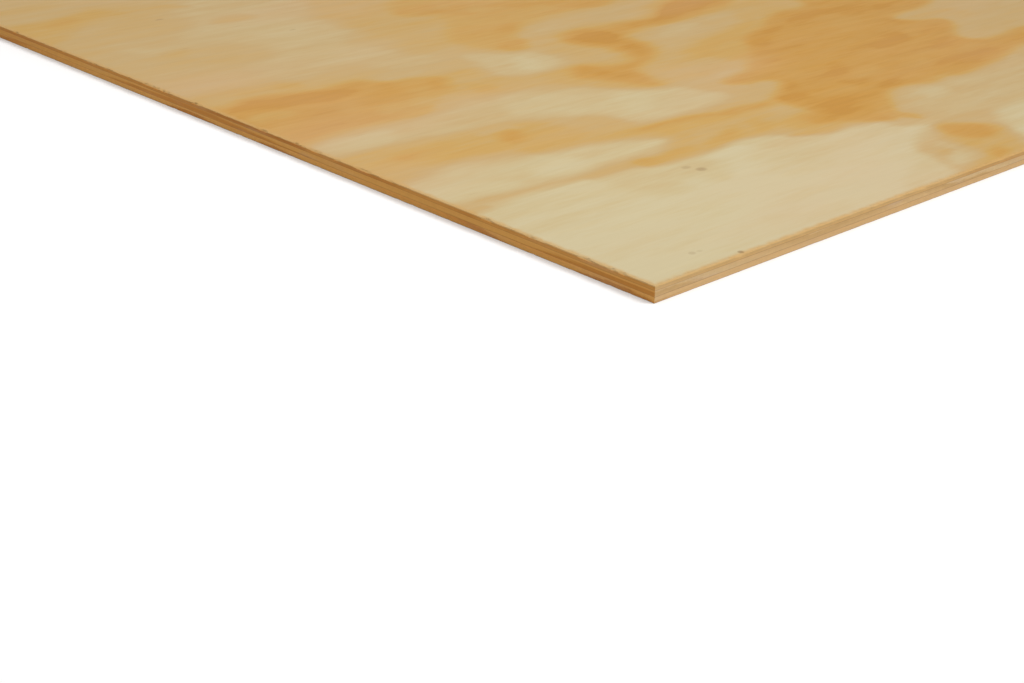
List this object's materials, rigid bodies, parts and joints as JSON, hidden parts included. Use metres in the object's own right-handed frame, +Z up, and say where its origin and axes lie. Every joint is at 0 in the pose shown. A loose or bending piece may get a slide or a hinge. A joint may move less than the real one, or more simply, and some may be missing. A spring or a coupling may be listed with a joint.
{
  "type": "plywood sheet",
  "caption": "Thin softwood plywood sheet, face veneers with cathedral grain along the length, cross-grained core, square sawn edges.",
  "frame": {"origin": "centre of the underside, where the sheet rests on the floor", "axes": "+X along the sheet's length and the grain of its face, +Y across its width, +Z up out of the face"},
  "size_m": [2.44, 1.22, 0.006],
  "materials": {
    "face_veneer": "sanded",
    "core_veneer": "sawn",
    "back_veneer": "sanded"
  },
  "bodies": {
    "root": {"face_veneer": "face_veneer", "core_veneer": "core_veneer", "back_veneer": "back_veneer"}
  },
  "joints": []
}
